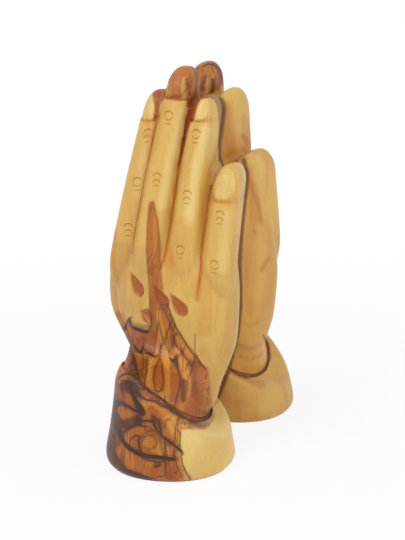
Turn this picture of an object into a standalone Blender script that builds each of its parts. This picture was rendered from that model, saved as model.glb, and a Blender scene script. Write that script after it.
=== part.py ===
"""Praying hands statue, carved from one block of olive wood.

Two hands lean together in prayer and stand on two flared cuffs. Metres, +Z up.
The hands mirror each other across the plane X = 0. The little fingers are on the -Y side, the
thumbs on the +Y side, and the origin is on the table under the middle of the statue.
"""

import math

import bmesh
import bpy
from mathutils import Matrix, Vector
from mathutils.bvhtree import BVHTree

MM = 0.001

HEIGHT = 200 * MM
KNUCKLE_HEIGHT = 100 * MM

# Each finger: drop of its tip below the top of the statue, its place across the hand at the
# knuckles and at the tip, its width at those two places, and the length of its nail
FINGERS = {
    "index": (12 * MM, 31.8 * MM, 17.2 * MM, 16.8 * MM, 12.8 * MM, 15.5 * MM),
    "middle": (0 * MM, 15.8 * MM, 3.9 * MM, 18.4 * MM, 13.4 * MM, 15 * MM),
    "ring": (13.6 * MM, -2.6 * MM, -8.8 * MM, 18.2 * MM, 12.6 * MM, 12.5 * MM),
    "little": (46.6 * MM, -19.6 * MM, -20 * MM, 17.2 * MM, 13.4 * MM, 17.5 * MM),
}

# Thickness of one hand, from the plane X = 0 out to the ridge of each finger
KNUCKLE_BACK = 46 * MM
TIP_BACK = 24 * MM
BACK_BEND_DROP = 20 * MM
BACK_BEND = 1.7
RIDGE_DROP = {"index": 4 * MM, "middle": 0 * MM, "ring": 0.5 * MM, "little": 1.5 * MM}
TIP_DROP_SHARE = 0.4
RIDGE_ROUND = 10.5 * MM
RIDGE_SQUARE = 2.4
PALM_SQUARE = 1.7
TIP_DOME = 11 * MM
DOME_POWER = 0.42
TIP_LEAN = 3.5 * MM
PALM_OVERLAP = 1.5 * MM

# How far the outer side of each finger leans towards the little finger, at knuckle and tip
LEANS = {"index": (0.04, 0.04), "middle": (0.04, 0.04), "ring": (0.22, 0.05),
         "little": (0.25, 0.15)}

# Where a finger sinks into the back of the hand
ROOT_HEIGHT = KNUCKLE_HEIGHT - 14 * MM
ROOT_LENGTH = 20 * MM
ROOT_SINK = 7 * MM
ROOT_THIN = 0.5
ROOT_NARROW = 0.25

# Rim of the cuff, a tilted and bowed oval, in millimetres as the tables below
RIM_HEIGHT = 43.2
RIM_OUT = 41.8
RIM_ACROSS = 3.4
RIM_HALF_OUT = 29.2
RIM_HALF_ACROSS = 21.6
RIM_TURN = -0.08
RIM_TILT_OUT = 0.17
RIM_TILT = 0.6
RIM_BOW = -0.013
RIM_GROOVE = 1.2
RIM_LEDGE = 1.3
WRIST_INSET = 0.7

# Heights in the tables are stages: 0 at the table, 1 at the rim, 2 at the knuckles, 3 at the top

# Back of the hand, wrist and the core between the fingers, from the cuff upwards: stage,
# distance out, thickness outwards and inwards, place across, half breadth, tilt and bow of the
# section, and how square its outer and inner halves are
PALM_SECTIONS = (
    (0.88, RIM_OUT, 26, 26, RIM_ACROSS, 19, RIM_TILT, RIM_BOW, 2, 2),
    (1, RIM_OUT, RIM_HALF_OUT - WRIST_INSET, RIM_HALF_OUT - WRIST_INSET, RIM_ACROSS,
     RIM_HALF_ACROSS - WRIST_INSET, RIM_TILT, RIM_BOW, 2, 2),
    (1.076, 36.5, 20.5, 22, 3, 23.5, 0.5, -0.008, 2, 2),
    (1.155, 32, 15.5, 19.5, 3.3, 25, 0.4, -0.003, 2, 2),
    (1.261, 29.5, 14, 24, 3.3, 28.5, 0.27, 0, 2, 1.9),
    (1.401, 28, 15, 30, 3.5, 32, 0.13, 0, 2.2, 1.7),
    (1.648, 27.5, 17.5, 30, 3.6, 33.6, 0, 0, 2.3, 1.55),
    (1.859, 27.5, 17, 29.5, 3.6, 33.6, 0, 0, 2.3, 1.55),
    (2.02, 27, 15, 28.5, 3.6, 32.4, 0, 0, 2.3, 1.55),
    (2.12, 26, 12.5, 27, 3.4, 31.2, 0, 0, 2.3, 1.6),
    (2.25, 24.5, 10.5, 25.5, 3.2, 29, 0, 0, 2.3, 1.7),
    (2.4, 23, 8.5, 23.5, 3.2, 24.5, 0, 0, 2.3, 2),
    (2.55, 21, 7, 21.5, 6, 15.5, 0, 0, 2.3, 2.2),
    (2.7, 18, 6, 18.5, 5.5, 12, 0, 0, 2.3, 2.2),
    (2.81, 15, 4, 15.5, 5, 8, 0, 0, 2.3, 2.2),
)
PALM_SHEAR = 0.03

# Thumb: stage, distance out, place across, half thickness, half breadth
THUMB_SECTIONS = (
    (0.88, 27, 13, 13, 9),
    (1.049, 19.5, 20, 14, 10),
    (1.173, 16, 25.3, 14, 10.8),
    (1.313, 13.5, 31, 13.5, 11.5),
    (1.437, 13, 34.8, 13, 12),
    (1.595, 13, 36.4, 13, 12.5),
    (1.859, 12.5, 36.8, 12.5, 12),
    (2.08, 12, 36, 12, 11),
    (2.2, 11, 34.6, 11, 9.5),
    (2.28, 10.5, 33, 9.5, 8.3),
    (2.34, 10, 31.5, 6.5, 6),
    (2.36, 10, 31, 2.5, 2.5),
)

# Solid core where palms and fingers are still one piece: stage, place across, half breadth,
# half thickness
CORE_SECTIONS = (
    (1.19, 18, 8, 5),
    (1.278, 17, 15, 8),
    (1.401, 14, 21, 9),
    (1.613, 13, 25, 9),
    (2.02, 11, 27, 9),
    (2.2, 9, 26, 9),
    (2.38, 6, 21, 8),
    (2.5, 6.5, 16, 7),
    (2.66, 6, 12.5, 6),
    (2.78, 5.5, 10, 6),
    (2.83, 5, 7, 5),
)

# Cuff: stage, share of the rim's tilt, distance out, place across, and the half sizes outwards
# and across
CUFF_SECTIONS = (
    (-0.093, 0, 46, 0, 27, 28.5),
    (0, 0, 46, 0, 28.7, 30.3),
    (0.051, 0, 46, 0, 30.9, 32.5),
    (0.162, 0.05, 46, 0, 32, 33.4),
    (0.428, 0.3, 45.3, 0.8, 32.4, 31.6),
    (0.729, 0.65, 43.8, 2.2, 32, 27.9),
    (1, 1, RIM_OUT, RIM_ACROSS, RIM_HALF_OUT + RIM_LEDGE, RIM_HALF_ACROSS + RIM_LEDGE),
)
CUFF_SQUARE = 2.1
CUFF_TURN = -0.24

# Nails: each fingertip is cut back by NAIL_DEPTH in front of a step, and the nail stands
# NAIL_RISE above that floor. NAIL_SHARE is the share of the finger's width that is cut back.
# NAIL_ACROSS and NAIL_ALONG are the lines of the floor, of which the inner ones carry the nail
NAIL_DEPTH = 1.1 * MM
NAIL_RISE = 0.6 * MM
NAIL_SHARE = 0.95
NAIL_ARCH = 1.6 * MM
NAIL_STOP = 1.2 * MM
NAIL_ACROSS = (-1, -0.88, -0.72, -0.3, 0.3, 0.72, 0.88, 1)
NAIL_ALONG = (0, 0.08, 0.18, 0.5, 0.8, 0.9, 1)

# Gouges on the back of the hand: place across and drop below the knuckles
GOUGES = ((22 * MM, 7.5 * MM), (7 * MM, 12 * MM), (-3.2 * MM, 15.4 * MM))
GOUGE_LENGTH = 12.5 * MM
GOUGE_RADIUS = 5.5 * MM
GOUGE_DEPTH = 2.4 * MM
GOUGE_LEAN = (0.6, 0.8)

# Creases over the finger joints, as shares of the way from the knuckles to the tip
CREASES = {
    "index": (0.76, 0.485, 0.22),
    "middle": (0.767, 0.468),
    "ring": (0.79, 0.447, 0.132),
    "little": (0.58, 0.1),
}
CREASE_RADIUS = 0.55 * MM
CREASE_HALF = 2.3 * MM
CREASE_RISE = 2.4 * MM

VOXEL = 1.1 * MM
EASE_STEPS = 3
TRIANGLES = 6000
SHARP_ANGLE = math.radians(32)
SECTION_POINTS = 40
CLEARANCE = 60 * MM


def clear_scene():
    for old in list(bpy.data.objects):
        bpy.data.objects.remove(old, do_unlink=True)


def collection(name):
    made = bpy.data.collections.new(name)
    bpy.context.scene.collection.children.link(made)
    return made


def mix(a, b, t):
    return a + (b - a) * t


def height_at(stage):
    """Height of a stage of the statue."""
    stops = (0, RIM_HEIGHT * MM, KNUCKLE_HEIGHT, HEIGHT)
    k = min(2, max(0, math.floor(stage)))
    return mix(stops[k], stops[k + 1], stage - k)


def section(side, out, y, z, outer, inner, half_y, power=2.0, inner_power=None, tilt_out=0.0,
            tilt=0.0, bow=0.0, turn=0.0, shear=0.0):
    """One closed section: a superellipse whose outer and inner halves may differ.

    tilt_out and tilt raise it outwards and across, bow bends it, turn turns it about Z and
    shear carries its outer half towards the little finger.
    """
    points = []
    for k in range(SECTION_POINTS):
        angle = 2 * math.pi * k / SECTION_POINTS
        c, s = math.cos(angle), math.sin(angle)
        if c > 0:
            reach, p = outer, power
        else:
            reach, p = inner, inner_power or power
        u = math.copysign(abs(c) ** (2 / p), c) * reach
        v = math.copysign(abs(s) ** (2 / p), s) * half_y
        dx = u * math.cos(turn) - v * math.sin(turn)
        dy = u * math.sin(turn) + v * math.cos(turn) - shear * u
        dz = tilt_out * dx + tilt * dy + bow * dy * dy
        points.append(Vector((side * (out + dx), y + dy, z + dz)))
    return points


def loft(bm, sections):
    """A closed skin carried through sections of equal point count, flat at both ends."""
    loops = [[bm.verts.new(p) for p in points] for points in sections]
    for low, high in zip(loops, loops[1:]):
        for k in range(SECTION_POINTS):
            n = (k + 1) % SECTION_POINTS
            bm.faces.new((low[k], low[n], high[n], high[k]))
    bm.faces.new(loops[0])
    bm.faces.new(loops[-1])


def finger_place(name, z):
    """Place of a finger's centre line across the hand at a height."""
    drop, knuckle_y, tip_y = FINGERS[name][:3]
    return mix(knuckle_y, tip_y, (z - KNUCKLE_HEIGHT) / (HEIGHT - drop - KNUCKLE_HEIGHT))


def finger_back(name, z):
    """Distance from X = 0 to the ridge of a finger at a height."""
    bend_height = KNUCKLE_HEIGHT - BACK_BEND_DROP
    rise = max(0, z - bend_height) / (HEIGHT - bend_height)
    t = max(0, z - KNUCKLE_HEIGHT) / (HEIGHT - FINGERS[name][0] - KNUCKLE_HEIGHT)
    ridge = KNUCKLE_BACK - (KNUCKLE_BACK - TIP_BACK) * rise ** BACK_BEND
    return ridge - RIDGE_DROP[name] * mix(1, TIP_DROP_SHARE, t)


def dome_scale(name, z):
    """Share of a finger's full section that is left at a height inside its rounded tip."""
    rise = (z - (HEIGHT - FINGERS[name][0] - TIP_DOME)) / TIP_DOME
    if rise <= 0:
        return 1.0
    return max(0.0, 1 - rise * rise) ** DOME_POWER


def finger_half(name, z):
    """Half breadth of a finger at a height."""
    drop, _, _, knuckle_width, tip_width, _ = FINGERS[name]
    t = (z - KNUCKLE_HEIGHT) / (HEIGHT - drop - KNUCKLE_HEIGHT)
    return mix(knuckle_width, tip_width, t) / 2 * dome_scale(name, z)


def add_finger(bm, side, name):
    tip = HEIGHT - FINGERS[name][0]
    shaft_steps, dome_steps = 12, 9
    heights = [mix(ROOT_HEIGHT, tip - TIP_DOME, k / shaft_steps) for k in range(shaft_steps)]
    for k in range(dome_steps):
        heights.append(tip - TIP_DOME * (1 - math.sin(math.pi / 2 * k / (dome_steps - 0.7))))
    sections = []
    for z in heights:
        scale = dome_scale(name, z)
        t = (z - KNUCKLE_HEIGHT) / (tip - KNUCKLE_HEIGHT)
        fade = max(0, ROOT_HEIGHT + ROOT_LENGTH - z) / ROOT_LENGTH
        back = finger_back(name, z) - ROOT_SINK * fade ** 2
        out = back - RIDGE_ROUND + TIP_LEAN * (1 - scale)
        sections.append(section(
            side, out, finger_place(name, z), z, (back - out) * scale,
            (out + PALM_OVERLAP) * scale * (1 - ROOT_THIN * fade),
            finger_half(name, z) * (1 - ROOT_NARROW * fade ** 2), RIDGE_SQUARE,
            PALM_SQUARE, shear=mix(*LEANS[name], t)))
    loft(bm, sections)


def add_hand(bm, side):
    for name in FINGERS:
        add_finger(bm, side, name)
    loft(bm, [
        section(side, out * MM, y * MM, height_at(stage), outer * MM, inner * MM, half * MM,
                power, inner_power, RIM_TILT_OUT * tilt / RIM_TILT, tilt, bow / MM,
                shear=PALM_SHEAR)
        for stage, out, outer, inner, y, half, tilt, bow, power, inner_power in PALM_SECTIONS])
    loft(bm, [
        section(side, out * MM, y * MM, height_at(stage), thick * MM, thick * MM, half * MM)
        for stage, out, y, thick, half in THUMB_SECTIONS])
    loft(bm, [
        section(side, out * MM, y * MM, height_at(stage), half_out * MM, half_out * MM,
                half * MM, CUFF_SQUARE, None, RIM_TILT_OUT * t, RIM_TILT * t, RIM_BOW * t / MM,
                mix(CUFF_TURN, RIM_TURN, t))
        for stage, t, out, y, half_out, half in CUFF_SECTIONS])


def add_object(name, bm, home, material):
    mesh = bpy.data.meshes.new(name)
    bmesh.ops.recalc_face_normals(bm, faces=bm.faces)
    for face in bm.faces:
        face.smooth = True
    bm.to_mesh(mesh)
    bm.free()
    mesh.materials.append(material)
    made = bpy.data.objects.new(name, mesh)
    home.objects.link(made)
    return made


def add_cutter(name, bm, home, material):
    cutter = add_object(name, bm, home, material)
    cutter.hide_render = True
    cutter.display_type = "WIRE"
    return cutter


def back_surface(tree, side, y, z):
    """Point and outward normal of the carved back of a hand at a place across and a height."""
    far = Vector((side * (KNUCKLE_BACK + CLEARANCE), y, z))
    point, normal, _, _ = tree.ray_cast(far, Vector((-side, 0, 0)))
    if point is None:
        point, normal, _, _ = tree.find_nearest(Vector((side * TIP_BACK, y, z)))
    return point, normal


def tube(bm, points, radius, closed, sides=6):
    """A round bar carried along a line of points; its ends are closed unless it meets itself."""
    count = len(points)
    loops = []
    for k in range(count):
        before = points[k - 1] if closed or k > 0 else points[k]
        after = points[(k + 1) % count] if closed or k < count - 1 else points[k]
        along = (after - before).normalized()
        wide = along.cross(Vector((0.3, 0.2, 1))).normalized()
        high = along.cross(wide)
        loops.append([
            bm.verts.new(points[k] + radius * (
                wide * math.cos(2 * math.pi * j / sides)
                + high * math.sin(2 * math.pi * j / sides)))
            for j in range(sides)])
    pairs = list(zip(loops, loops[1:]))
    if closed:
        pairs.append((loops[-1], loops[0]))
    for low, high in pairs:
        for j in range(sides):
            n = (j + 1) % sides
            bm.faces.new((low[j], low[n], high[n], high[j]))
    if not closed:
        bm.faces.new(loops[0])
        bm.faces.new(loops[-1])


def rim_groove(side):
    bm = bmesh.new()
    points = []
    steps = 40
    for k in range(steps):
        angle = 2 * math.pi * k / steps
        u = RIM_HALF_OUT * math.cos(angle)
        v = RIM_HALF_ACROSS * math.sin(angle)
        dx = u * math.cos(RIM_TURN) - v * math.sin(RIM_TURN)
        dy = u * math.sin(RIM_TURN) + v * math.cos(RIM_TURN)
        dz = RIM_TILT_OUT * dx + RIM_TILT * dy + RIM_BOW * dy * dy
        points.append(Vector((side * (RIM_OUT + dx), RIM_ACROSS + dy, RIM_HEIGHT + dz)) * MM)
    tube(bm, points, RIM_GROOVE * MM, True)
    return bm


def nail(tree, side, name):
    """A curved slab over a fingertip whose floor is hollow where it leaves the nail standing."""
    tip = HEIGHT - FINGERS[name][0]
    low, high = tip - FINGERS[name][5], tip - NAIL_STOP
    across, along = len(NAIL_ACROSS) - 1, len(NAIL_ALONG) - 1
    bm = bmesh.new()
    floor, cover = [], []
    for i, v in enumerate(NAIL_ALONG):
        floor.append([])
        cover.append([])
        for j, u in enumerate(NAIL_ACROSS):
            z = mix(low + NAIL_ARCH * u ** 4, high, v)
            y = finger_place(name, z) + NAIL_SHARE * (1 - 0.2 * v ** 4) * finger_half(name, z) * u
            point, normal = back_surface(tree, side, y, z)
            depth = NAIL_DEPTH
            if 1 < i < along - 1 and 1 < j < across - 1:
                depth -= NAIL_RISE
            floor[-1].append(bm.verts.new(point - normal * depth))
            cover[-1].append(bm.verts.new(point + normal * 3 * NAIL_DEPTH))
    for grid in (floor, cover):
        for i in range(along):
            for j in range(across):
                bm.faces.new((grid[i][j], grid[i][j + 1], grid[i + 1][j + 1], grid[i + 1][j]))
    border = [(0, j) for j in range(across)] + [(i, across) for i in range(along)]
    border += [(along, j) for j in range(across, 0, -1)] + [(i, 0) for i in range(along, 0, -1)]
    for (a, b), (c, d) in zip(border, border[1:] + border[:1]):
        bm.faces.new((floor[a][b], floor[c][d], cover[c][d], cover[a][b]))
    return bm


def gouge(tree, side, y, z):
    """A cone laid in the back of the hand, its point up towards the thumb."""
    bm = bmesh.new()
    bmesh.ops.create_cone(bm, cap_ends=True, segments=12, radius1=GOUGE_RADIUS, radius2=0,
                          depth=GOUGE_LENGTH)
    reach = GOUGE_LENGTH / 2
    point, _ = back_surface(tree, side, y + GOUGE_LEAN[0] * reach, z + GOUGE_LEAN[1] * reach)
    foot, normal = back_surface(tree, side, y - GOUGE_LEAN[0] * reach, z - GOUGE_LEAN[1] * reach)
    foot = foot + normal * (GOUGE_RADIUS - GOUGE_DEPTH)
    along = (point - foot).normalized()
    turn = Vector((0, 0, 1)).rotation_difference(along).to_matrix().to_4x4()
    bmesh.ops.transform(bm, verts=bm.verts,
                        matrix=Matrix.Translation((point + foot) / 2) @ turn)
    return bm


def crease(tree, side, y, z):
    """A short arched line engraved over a finger joint."""
    bm = bmesh.new()
    points = []
    steps = 5
    for k in range(steps + 1):
        angle = math.pi * k / steps
        point, _ = back_surface(tree, side, y + CREASE_HALF * math.cos(angle),
                                z + CREASE_RISE * math.sin(angle))
        points.append(point)
    tube(bm, points, CREASE_RADIUS, False, 5)
    return bm


def table_cutter():
    bm = bmesh.new()
    bmesh.ops.create_cube(bm, size=1.0)
    size = Vector((4 * KNUCKLE_BACK + CLEARANCE, 4 * KNUCKLE_BACK, CLEARANCE))
    bmesh.ops.scale(bm, verts=bm.verts, vec=size)
    bmesh.ops.translate(bm, verts=bm.verts, vec=Vector((0, 0, -CLEARANCE / 2)))
    return bm


def olive_wood():
    material = bpy.data.materials.new("olive_wood")
    material.use_nodes = True
    shader = material.node_tree.nodes["Principled BSDF"]
    shader.inputs["Base Color"].default_value = (0.62, 0.38, 0.15, 1)
    shader.inputs["Roughness"].default_value = 0.42
    return material


def evaluated(item):
    depsgraph = bpy.context.evaluated_depsgraph_get()
    depsgraph.update()
    return item.evaluated_get(depsgraph).data


def sharp_edges(item):
    """Modifier that shades edges bent past SHARP_ANGLE as hard ones."""
    group = bpy.data.node_groups.new("sharp_edges", "GeometryNodeTree")
    group.interface.new_socket("Geometry", in_out="INPUT", socket_type="NodeSocketGeometry")
    group.interface.new_socket("Geometry", in_out="OUTPUT", socket_type="NodeSocketGeometry")
    start = group.nodes.new("NodeGroupInput")
    end = group.nodes.new("NodeGroupOutput")
    angle = group.nodes.new("GeometryNodeInputMeshEdgeAngle")
    bent = group.nodes.new("ShaderNodeMath")
    bent.operation = "GREATER_THAN"
    bent.inputs[1].default_value = SHARP_ANGLE
    shade = group.nodes.new("GeometryNodeSetShadeSmooth")
    shade.domain = "EDGE"
    shade.inputs["Shade Smooth"].default_value = False
    group.links.new(angle.outputs["Unsigned Angle"], bent.inputs[0])
    group.links.new(bent.outputs["Value"], shade.inputs["Selection"])
    group.links.new(start.outputs["Geometry"], shade.inputs["Geometry"])
    group.links.new(shade.outputs["Geometry"], end.inputs["Geometry"])
    item.modifiers.new("sharp", "NODES").node_group = group


def build():
    clear_scene()
    statue = collection("praying_hands")
    cutters = collection("cutters")
    wood = olive_wood()

    bm = bmesh.new()
    for side in (-1, 1):
        add_hand(bm, side)
    loft(bm, [
        section(1, 0, y * MM, height_at(stage), thick * MM, thick * MM, half * MM)
        for stage, y, half, thick in CORE_SECTIONS])
    hands = add_object("praying_hands", bm, statue, wood)

    melt = hands.modifiers.new("melt", "REMESH")
    melt.mode = "VOXEL"
    melt.voxel_size = VOXEL
    melt.use_smooth_shade = True
    ease = hands.modifiers.new("ease", "SMOOTH")
    ease.factor = 0.5
    ease.iterations = EASE_STEPS

    depsgraph = bpy.context.evaluated_depsgraph_get()
    tree = BVHTree.FromObject(hands, depsgraph)
    made = [add_cutter("table", table_cutter(), cutters, wood)]
    for side in (-1, 1):
        word = "left" if side < 0 else "right"
        made.append(add_cutter("rim_" + word, rim_groove(side), cutters, wood))
        for name in FINGERS:
            made.append(add_cutter("nail_" + name + "_" + word, nail(tree, side, name),
                                   cutters, wood))
            for k, share in enumerate(CREASES[name]):
                z = mix(KNUCKLE_HEIGHT, HEIGHT - FINGERS[name][0], share)
                made.append(add_cutter("crease_%s_%d_%s" % (name, k + 1, word),
                                       crease(tree, side, finger_place(name, z), z),
                                       cutters, wood))
        for k, (y, fall) in enumerate(GOUGES):
            made.append(add_cutter("gouge_%d_%s" % (k + 1, word),
                                   gouge(tree, side, y, KNUCKLE_HEIGHT - fall), cutters, wood))

    count = 2 * len(evaluated(hands).polygons)
    thin = hands.modifiers.new("thin", "DECIMATE")
    thin.ratio = TRIANGLES / count
    carve = hands.modifiers.new("carve", "BOOLEAN")
    carve.operation = "DIFFERENCE"
    carve.solver = "EXACT"
    carve.operand_type = "COLLECTION"
    carve.collection = cutters
    sharp_edges(hands)

    low = min(v.co.y for v in evaluated(hands).vertices)
    high = max(v.co.y for v in evaluated(hands).vertices)
    centre = Matrix.Translation((0, -(low + high) / 2, 0))
    for item in [hands] + made:
        item.data.transform(centre)


build()
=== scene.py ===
"""Praying hands statue carved from one block of olive wood, on a white studio floor.

The carving is worked out with numpy: each finger, the back of the hand, the thumb, the core and
the cuffs are sections carried up a path. A voxel remesh melts them into one skin, and cutters
laid on that skin engrave the nails, creases, gouges and grooves. The figure of the wood, with
painted highlights and painted shade among it, is drawn in curves and kept on the vertices, and
the material sharpens it into veins. Lengths in the tables are in millimetres.
"""

import math

import bpy
import numpy as np
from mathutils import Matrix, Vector
from mathutils.bvhtree import BVHTree


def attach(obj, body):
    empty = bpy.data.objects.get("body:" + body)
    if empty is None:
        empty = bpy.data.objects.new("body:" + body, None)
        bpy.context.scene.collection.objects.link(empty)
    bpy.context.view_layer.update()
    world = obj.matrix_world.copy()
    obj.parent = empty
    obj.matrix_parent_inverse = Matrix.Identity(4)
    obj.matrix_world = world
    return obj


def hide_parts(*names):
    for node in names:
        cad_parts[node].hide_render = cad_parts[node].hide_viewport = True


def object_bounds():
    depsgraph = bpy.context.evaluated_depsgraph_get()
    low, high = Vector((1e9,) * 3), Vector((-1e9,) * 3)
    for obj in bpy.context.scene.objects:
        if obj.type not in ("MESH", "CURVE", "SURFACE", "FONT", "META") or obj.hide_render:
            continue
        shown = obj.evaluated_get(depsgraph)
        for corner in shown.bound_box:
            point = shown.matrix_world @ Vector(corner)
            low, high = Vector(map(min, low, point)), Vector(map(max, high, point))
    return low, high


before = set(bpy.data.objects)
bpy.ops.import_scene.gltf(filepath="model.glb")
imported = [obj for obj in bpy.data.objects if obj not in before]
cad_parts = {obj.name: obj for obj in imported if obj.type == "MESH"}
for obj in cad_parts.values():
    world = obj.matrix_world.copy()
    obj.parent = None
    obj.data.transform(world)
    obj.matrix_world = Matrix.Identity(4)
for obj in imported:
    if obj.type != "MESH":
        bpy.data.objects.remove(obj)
CAD_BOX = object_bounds()

MM = 0.001
HEIGHT = 200.0
KNUCKLE_HEIGHT = 100.0

# Drop of the tip, place across at the knuckles and at the tip, width at both, nail length
FINGERS = {
    "index": (12.0, 31.8, 17.2, 16.8, 12.8, 15.5),
    "middle": (0.0, 15.8, 4.5, 18.4, 14.6, 15.0),
    "ring": (13.6, -2.6, -8.8, 18.2, 12.6, 12.5),
    "little": (46.6, -19.6, -20.0, 17.2, 12.6, 17.5),
    "near_little": (46.6, -21.2, -25.0, 18.6, 14.2, 17.5),
}
HANDS = {-1: ("index", "middle", "ring", "near_little"), 1: ("index", "middle", "ring", "little")}
KNUCKLE_BACK = 46.0
TIP_BACK = 24.0
BACK_BEND_DROP = 20.0
BACK_BEND = 1.7
RIDGE_DROP = {"index": 4.0, "middle": 0.0, "ring": 0.5, "little": 1.5, "near_little": 1.5}
TIP_DROP_SHARE = 0.4
RIDGE_ROUND = 10.5
RIDGE_SQUARE = 2.4
PALM_SQUARE = 1.7
TIP_DOME = 11.0
DOME_POWER = 0.42
TIP_LEAN = 3.5
LEANS = {"index": (0.04, 0.04), "middle": (0.04, 0.04), "ring": (0.22, 0.05),
         "little": (0.25, 0.15), "near_little": (0.25, 0.15)}
PALM_OVERLAP = 1.5
ROOT_HEIGHT = 86.0
ROOT_LENGTH = 20.0
ROOT_SINK = 7.0

RIM_HEIGHT = 43.2
RIM_OUT = 41.8
RIM_ACROSS = 3.4
RIM_HALF_OUT = 29.2
RIM_HALF_ACROSS = 21.6
RIM_TURN = -0.08
RIM_TILT_OUT = 0.17
RIM_TILT = 0.6
RIM_BOW = -0.013
RIM_GROOVE = 1.1
RIM_LEDGE = 1.3
WRIST_INSET = 0.7

# Height, out, outer and inner thickness, across, half breadth, tilt, bow, outer and inner power
PALM_SECTIONS = (
    (38, RIM_OUT, 26, 26, RIM_ACROSS, 19, RIM_TILT, RIM_BOW, 2, 2),
    (RIM_HEIGHT, RIM_OUT, RIM_HALF_OUT - WRIST_INSET, RIM_HALF_OUT - WRIST_INSET, RIM_ACROSS,
     RIM_HALF_ACROSS - WRIST_INSET, RIM_TILT, RIM_BOW, 2, 2),
    (47.5, 36.5, 20.5, 22, 3, 23.5, 0.5, -0.008, 2, 2),
    (52, 32, 15.5, 19.5, 3.3, 25, 0.4, -0.003, 2, 2),
    (58, 29.5, 14, 24, 3.3, 28.5, 0.27, 0, 2, 1.9),
    (66, 28, 15, 30, 3.5, 32, 0.13, 0, 2.2, 1.7),
    (80, 27.5, 17.5, 30, 3.6, 33.6, 0, 0, 2.3, 1.55),
    (92, 27.5, 17, 29.5, 3.6, 33.6, 0, 0, 2.3, 1.55),
    (102, 27, 15, 28.5, 3.6, 32.4, 0, 0, 2.3, 1.55),
    (112, 26, 12.5, 27, 3.4, 31.2, 0, 0, 2.3, 1.6),
    (125, 24.5, 10.5, 25.5, 3.2, 29, 0, 0, 2.3, 1.7),
    (140, 23, 8.5, 23.5, 3.2, 24.5, 0, 0, 2.3, 2),
    (155, 21, 7, 21.5, 6, 15.5, 0, 0, 2.3, 2.2),
    (170, 18, 6, 18.5, 5.5, 12, 0, 0, 2.3, 2.2),
    (181, 15, 4, 15.5, 5, 8, 0, 0, 2.3, 2.2),
)
PALM_SHEAR = 0.03
# Height, out, across, half thickness, half breadth
THUMB_SECTIONS = (
    (38, 27, 13, 13, 9),
    (46, 19.5, 20, 14, 10),
    (53, 16, 25.3, 14, 10.8),
    (61, 13.5, 31, 13.5, 11.5),
    (68, 13, 34.8, 13, 12),
    (77, 13, 36.4, 13, 12.5),
    (92, 12.5, 36.8, 12.5, 12),
    (108, 12, 36, 12, 11),
    (120, 11, 34.6, 11, 9.5),
    (128, 10.5, 33, 9.5, 8.3),
    (134, 10, 31.5, 6.5, 6),
    (136, 10, 31, 2.5, 2.5),
)
# Height, across, half breadth, half thickness
CORE_SECTIONS = (
    (54, 18, 8, 5),
    (59, 17, 15, 8),
    (66, 14, 21, 9),
    (78, 13, 25, 9),
    (102, 11, 27, 9),
    (120, 9, 26, 9),
    (138, 6, 21, 8),
    (150, 6.5, 16, 7),
    (166, 6, 12.5, 6),
    (178, 5.5, 10, 6),
    (183, 5, 7, 5),
)
# Height, share of the rim's tilt, out, across, half sizes out and across
CUFF_SECTIONS = (
    (-4, 0, 46, 0, 27, 28.5),
    (0, 0, 46, 0, 28.7, 30.3),
    (2.2, 0, 46, 0, 30.9, 32.5),
    (7, 0.05, 46, 0, 32, 33.4),
    (18.5, 0.25, 45.3, -0.4, 32.4, 31.6),
    (31.5, 0.5, 43.8, -0.2, 32.1, 29.8),
    (38.5, 0.72, 42.6, 1.2, 31.7, 27.8),
    (RIM_HEIGHT, 1, RIM_OUT, RIM_ACROSS, RIM_HALF_OUT + RIM_LEDGE, RIM_HALF_ACROSS + RIM_LEDGE),
)
CUFF_SQUARE = 2.1
CUFF_TURN = -0.24

NAIL_DEPTH = 1.1
NAIL_RISE = 0.75
NAIL_SHARE = 0.95
NAIL_ARCH = 1.2
NAIL_STOP = 1.2
# Place across and drop below the knuckles of each gouge
GOUGES = ((21.2, 8.6), (6.8, 13.2), (-3.2, 16.4))
GOUGE_LENGTH = 15.5
GOUGE_HALF = 4.4
GOUGE_DEPTH = 2.0
GOUGE_WIDEST = 0.68
GOUGE_LEAN = (0.6, 0.8)
GOUGE_SWELL = 0.75
GOUGE_RINGS = 21
GOUGE_SIDES = 28
# Way aside towards the little finger, then shares of the way from the knuckles to the tip
CREASES = {
    "index": (2.2, 0.76, 0.485, 0.22),
    "middle": (0.0, 0.765, 0.462),
    "ring": (1.1, 0.79, 0.447, 0.132),
    "little": (0.5, 0.58, 0.1),
    "near_little": (1.2, 0.56, 0.1),
}
CREASE_HALF = 2.3
CREASE_RISE = 2.0
CREASE_DROP = 2.9
CREASE_SECOND = 0.85
CREASE_BAR_DROP = 1.3
CREASE_BAR = (0.15, 0.33, 0.4, 0.42, 0.4, 0.33, 0.15)
# Lines cut along the hollow between two fingers: the fingers, lowest and highest point, radius
GAPS = ((0, 1, 106, 178, 0.5), (1, 2, 99, 180, 0.7), (2, 3, 87, 148, 0.6))

SECTION_POINTS = 96
SECTION_STEPS = 5
FINGER_RINGS = 40
TIP_RINGS = 17
VOXEL = 1.1
SOFTEN_STEPS = 4
FIT_ROOM = 0.05
SHARP_ANGLE = math.radians(38)


def mix(a, b, t):
    return a + (b - a) * t


def ease(x, low, high):
    """0 below low and 1 above high with a smooth way between; low may be the larger."""
    t = np.clip((x - low) / (high - low), 0, 1)
    return t * t * (3 - 2 * t)


def smooth_rows(rows, steps):
    """Rows of numbers carried smoothly through the given ones by a Catmull-Rom curve."""
    rows = np.array(rows, float)
    ends = np.concatenate([2 * rows[:1] - rows[1:2], rows, 2 * rows[-1:] - rows[-2:-1]])
    made = []
    for k in range(len(rows) - 1):
        a, b, c, d = ends[k:k + 4]
        t = (np.arange(steps) / steps)[:, None]
        made.append(0.5 * (2 * b + (c - a) * t + (2 * a - 5 * b + 4 * c - d) * t ** 2
                           + (3 * b - a - 3 * c + d) * t ** 3))
    made.append(rows[-1:])
    return np.concatenate(made)


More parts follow.
